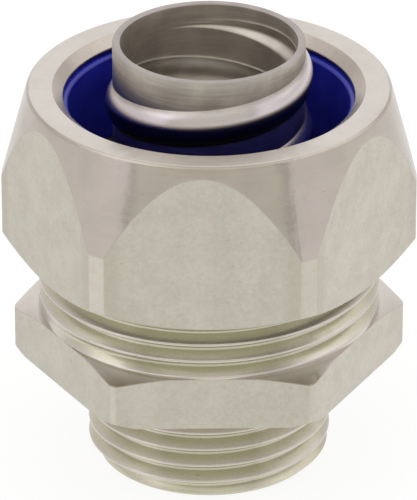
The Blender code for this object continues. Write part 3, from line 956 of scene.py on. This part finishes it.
ferrule_angles = np.linspace(BEAD_START - FULL_TURN, BEAD_START, 217)
ferrule_finishes = (steel_outside, steel_inside_lit, steel_cup_shaded, steel_rim)
ferrule_wall = ferrule_rows(ferrule_angles)
ferrule = skin("ferrule_shell", ferrule_angles, ferrule_wall, ferrule_finishes, ferrule_finish)
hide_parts("ferrule")
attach(ferrule, "fitting")

# %% [markdown]
# The floor is a sheet of pale glossy acrylic. To the camera it is almost white by itself, and
# the little light that it takes from the lamps carries the soft shadow. In the metal it is
# white as well, with a faint mirror image of the tent, as such a sheet gives. More light on a
# plain floor would whiten it too, but it would wash out the metal. The sheet lies a hair below
# the thread's end, so that the two don't share a plane.

# %% Floor
WHITE = (1, 1, 1, 1)
FLOOR_REACH = 3
BELOW_THE_THREAD = 0.00002


def grey(value):
    """A grey of one value in all three colours."""
    return (value, value, value, 1)


def glowing(signal, strength, kind, values):
    """White glow with another surface on top."""
    glow = signal.node("ShaderNodeEmission", None, {"Color": WHITE, "Strength": strength})
    return signal.node("ShaderNodeAddShader", None, {0: glow, 1: signal.node(kind, None, values)})


def floor_finish():
    """White to the camera and to reflections, plain pale paint for the light."""
    material, shader, signal = new_finish("pale floor")
    signal.tree.nodes.remove(shader)
    paint = signal.node("ShaderNodeBsdfDiffuse", None, {"Color": grey(0.8)})
    sheet = glowing(signal, 0.86, "ShaderNodeBsdfDiffuse", {"Color": grey(0.17)})
    gloss = glowing(signal, 0.74, "ShaderNodeBsdfAnisotropic", {"Color": grey(0.30), "Roughness": 0.1})
    seen = signal.node("ShaderNodeLightPath", output="Is Camera Ray")
    mirrored = signal.node("ShaderNodeLightPath", output="Is Glossy Ray")
    through = signal.node("ShaderNodeLightPath", output="Is Transmission Ray")
    reflected = signal.math("MINIMUM", mirrored + through, 1.0)
    result = signal.node("ShaderNodeMixShader", None, {0: seen, 1: paint, 2: sheet})
    result = signal.node("ShaderNodeMixShader", None, {0: reflected, 1: result, 2: gloss})
    signal.tree.links.new(result.socket, signal.tree.nodes["Material Output"].inputs["Surface"])
    return material


floor_corners = [(-FLOOR_REACH, -FLOOR_REACH, 0), (FLOOR_REACH, -FLOOR_REACH, 0)]
floor_corners += [(FLOOR_REACH, FLOOR_REACH, 0), (-FLOOR_REACH, FLOOR_REACH, 0)]
floor_mesh = bpy.data.meshes.new("floor")
floor_mesh.from_pydata(floor_corners, [], [(0, 1, 2, 3)])
floor_mesh.materials.append(floor_finish())
floor = bpy.data.objects.new("floor", floor_mesh)
floor.location.z = -BELOW_THE_THREAD
bpy.context.scene.collection.objects.link(floor)
print("the floor reaches", FLOOR_REACH, "m each way")

# %% [markdown]
# Catalogue pictures of metal are taken in a tent of white cloth, because polished metal shows
# whatever is round it. The world is that tent. Its roof and back are bright, its front is the
# duller flap on the camera's side, and a dark seam joins the flap to each side wall. The seams
# are what the narrow dark lines on the nut's cone show. Straight overhead the cloth is a little
# duller. Planes of cloth would do the same, but a ramp over the direction is exact, throws no
# shadow and takes no room beside the object.

# %% Tent
FLAP = (0.70, 0.675, 0.60, 1)
SEAM = (0.14, 0.125, 0.10, 1)
LILAC = (0.95, 0.90, 0.94, 1)
CORNER = (0.79, 0.745, 0.735, 1)
CLOTH = (1.07, 1.05, 1.06, 1)
ROOF = (1.06, 1.03, 1.03, 1)
ROOF_MIDDLE = (0.80, 0.77, 0.70, 1)

world = bpy.data.worlds.new("tent")
bpy.context.scene.world = world
world.use_nodes = True
tent = Signal(world.node_tree)
across, along, up = parts(tent.node("ShaderNodeTexCoord", output="Generated"), "XYZ")
from_front = tent.math("ARCTAN2", tent.math("ABSOLUTE", across), 0 - along) * (1 / math.pi)
stops = [(0.0, FLAP), (0.242, FLAP), (0.247, SEAM), (0.261, SEAM), (0.266, LILAC), (0.37, LILAC)]
stops += [(0.46, CORNER), (0.80, CORNER), (0.93, CLOTH), (1.0, CLOTH)]
walls = tent.node("ShaderNodeValToRGB", {"stops": stops}, {0: from_front})
roof = up.ramp(0.50, 0.80).mix(walls, ROOF)
roof = up.ramp(0.85, 1.0).mix(roof, ROOF_MIDDLE)
sky = tent.node("ShaderNodeLightPath", output="Is Camera Ray").mix(roof, WHITE)
background = world.node_tree.nodes["Background"]
world.node_tree.links.new(sky.socket, background.inputs["Color"])
print("the tent has", len(stops), "stops from its front to its back")

# %% [markdown]
# Two large soft lamps above the object add a key light from the left and a fill from the right,
# and give the pale shadow on the floor. Both aim at the connector's middle. Their power is low,
# because the tent already lights the metal and a colour should render about as it is written.

# %% Lamps
MIDDLE = (0, 0, 0.02)
LAMP_SIDE = 0.8


def softbox(name, spot, power):
    """Add a square area lamp that faces the connector's middle."""
    data = bpy.data.lights.new(name, "AREA")
    data.shape = "SQUARE"
    data.size = LAMP_SIDE
    data.energy = power
    lamp = bpy.data.objects.new(name, data)
    lamp.location = spot
    step = [target - start for target, start in zip(MIDDLE, spot)]
    level = math.hypot(step[0], step[1])
    lamp.rotation_euler = (math.atan2(level, -step[2]), 0, math.atan2(step[1], step[0]) - math.pi / 2)
    bpy.context.scene.collection.objects.link(lamp)


softbox("left softbox", (-0.6, -0.3, 0.7), power=0.8)
softbox("right softbox", (0.7, 0.2, 0.6), power=0.6)
bpy.context.scene.view_settings.view_transform = "Standard"

# %% [markdown]
# Last, the script prints that it has finished.

# %% End
print("finished")
